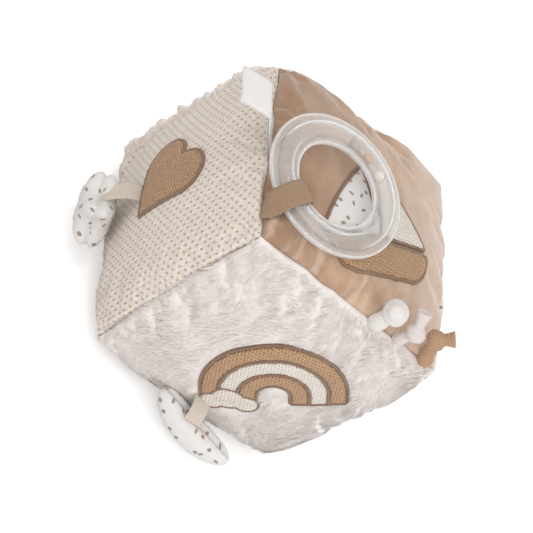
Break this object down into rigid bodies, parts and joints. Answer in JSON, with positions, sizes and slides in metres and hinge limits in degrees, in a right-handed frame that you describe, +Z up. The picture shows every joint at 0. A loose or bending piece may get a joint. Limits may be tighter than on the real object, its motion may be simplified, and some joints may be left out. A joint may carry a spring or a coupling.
{
  "type": "soft activity block",
  "caption": "Soft stuffed fabric cube with textured sides, sewn patches, a clear bead ring on a ribbon, hanging stuffed star and moon, and knotted tails",
  "frame": {"origin": "Middle of the flat on the base, on the floor.", "axes": "+Z up through the velour top; -Y is the fur front; -X is the knit side; +Y is the sherpa back; +X is the dotted side."},
  "size_m": [0.2188, 0.2121, 0.1858],
  "materials": {
    "tan_velour": "short soft pile",
    "pile_fur": "long brushed pile",
    "waffle_knit": "coarse openwork knit",
    "curly_sherpa": "curly pile",
    "dotted_jersey": "smooth jersey with small brown dots",
    "wadding": "polyester wadding",
    "rattle_plastic": "moulded",
    "tan_knit": "boucle knit",
    "cream_knit": "waffle knit",
    "satin_stitch": "dense satin stitch",
    "clear_plastic": "clear polished plastic",
    "bead_cream": "polished",
    "bead_tan": "polished",
    "bead_taupe": "polished",
    "herringbone": "herringbone tape",
    "white_satin": "satin ribbon",
    "beige_ribbon": "grosgrain tape",
    "white_jersey": "jersey strip",
    "rose_jersey": "jersey strip",
    "rib_knit": "ribbed knit strip"
  },
  "bodies": {
    "block": {"velour_top_panel": "tan_velour", "velour_base_panel": "tan_velour", "fur_front_panel": "pile_fur", "knit_left_panel": "waffle_knit", "sherpa_back_panel": "curly_sherpa", "jersey_right_panel": "dotted_jersey", "wadding_upper": "wadding", "wadding_lower": "wadding", "rattle_case_upper": "rattle_plastic", "rattle_case_lower": "rattle_plastic", "heart_patch": "tan_knit", "heart_border": "satin_stitch", "rainbow_band_outer": "tan_knit", "rainbow_band_middle": "cream_knit", "rainbow_band_inner": "tan_knit", "rainbow_stitching": "satin_stitch", "cloud_patch": "cream_knit", "cloud_border": "satin_stitch", "boat_hull": "tan_knit", "main_sail": "cream_knit", "fore_sail": "dotted_jersey", "boat_stitching": "satin_stitch"},
    "ring_ribbon_body": {"ring_ribbon": "herringbone"},
    "ring": {"ring_shell_upper": "clear_plastic", "ring_shell_lower": "clear_plastic"},
    "beads": {"bead_cream": "bead_cream", "bead_tan": "bead_tan", "bead_taupe": "bead_taupe"},
    "star": {"star_ribbon": "beige_ribbon", "star_front_cover": "dotted_jersey", "star_back_cover": "dotted_jersey", "star_filling": "wadding"},
    "moon": {"moon_ribbon": "beige_ribbon", "moon_front_cover": "dotted_jersey", "moon_back_cover": "dotted_jersey", "moon_filling": "wadding"},
    "satin_loop": {"white_satin_loop": "white_satin"},
    "rattle": {"rattle_ball": "rattle_plastic"},
    "white_tail_body": {"white_tail": "white_jersey"},
    "grey_tail_body": {"grey_tail": "rose_jersey"},
    "tan_tail_body": {"tan_tail": "rib_knit"}
  },
  "joints": [
    {"name": "ring_ribbon_fold", "type": "hinge", "parent": "block", "child": "ring_ribbon_body", "pos_m": [-0.07649, -0.056, 0.15105], "axis": [0.682, -0.7314, 0], "range_deg": [0, 120]},
    {"name": "ring_spin", "type": "hinge", "parent": "ring_ribbon_body", "child": "ring", "pos_m": [-0.04066, -0.02258, 0.17129], "axis": [-0.1707, -0.1592, 0.9724], "continuous": true},
    {"name": "beads_roll", "type": "hinge", "parent": "ring", "child": "beads", "pos_m": [-0.04066, -0.02258, 0.17129], "axis": [-0.1707, -0.1592, 0.9724], "continuous": true},
    {"name": "star_swing", "type": "hinge", "parent": "block", "child": "star", "pos_m": [-0.0976, 0.001, 0.05735], "axis": [0, 1, 0], "range_deg": [0, 100]},
    {"name": "moon_swing", "type": "hinge", "parent": "block", "child": "moon", "pos_m": [-0.005, -0.0912, 0.03234], "axis": [-1, 0, 0], "range_deg": [0, 90]},
    {"name": "satin_loop_lean", "type": "hinge", "parent": "block", "child": "satin_loop", "pos_m": [-0.07944, 0.0005, 0.15308], "axis": [0, 1, 0], "range_deg": [-15, 5]},
    {"name": "rattle_ball_drop", "type": "slide", "parent": "block", "child": "rattle", "axis": [0, 0, 1], "range_m": [0, 0.016]},
    {"name": "white_tail_lean", "type": "hinge", "parent": "block", "child": "white_tail_body", "pos_m": [0.018, -0.07889, 0.15254], "axis": [1, 0, 0], "range_deg": [-20, 20]},
    {"name": "grey_tail_lean", "type": "hinge", "parent": "block", "child": "grey_tail_body", "pos_m": [0.0385, -0.07819, 0.15189], "axis": [1, 0, 0], "range_deg": [-20, 20]},
    {"name": "tan_tail_lean", "type": "hinge", "parent": "block", "child": "tan_tail_body", "pos_m": [0.064, -0.07662, 0.15041], "axis": [1, 0, 0], "range_deg": [-20, 20]}
  ]
}
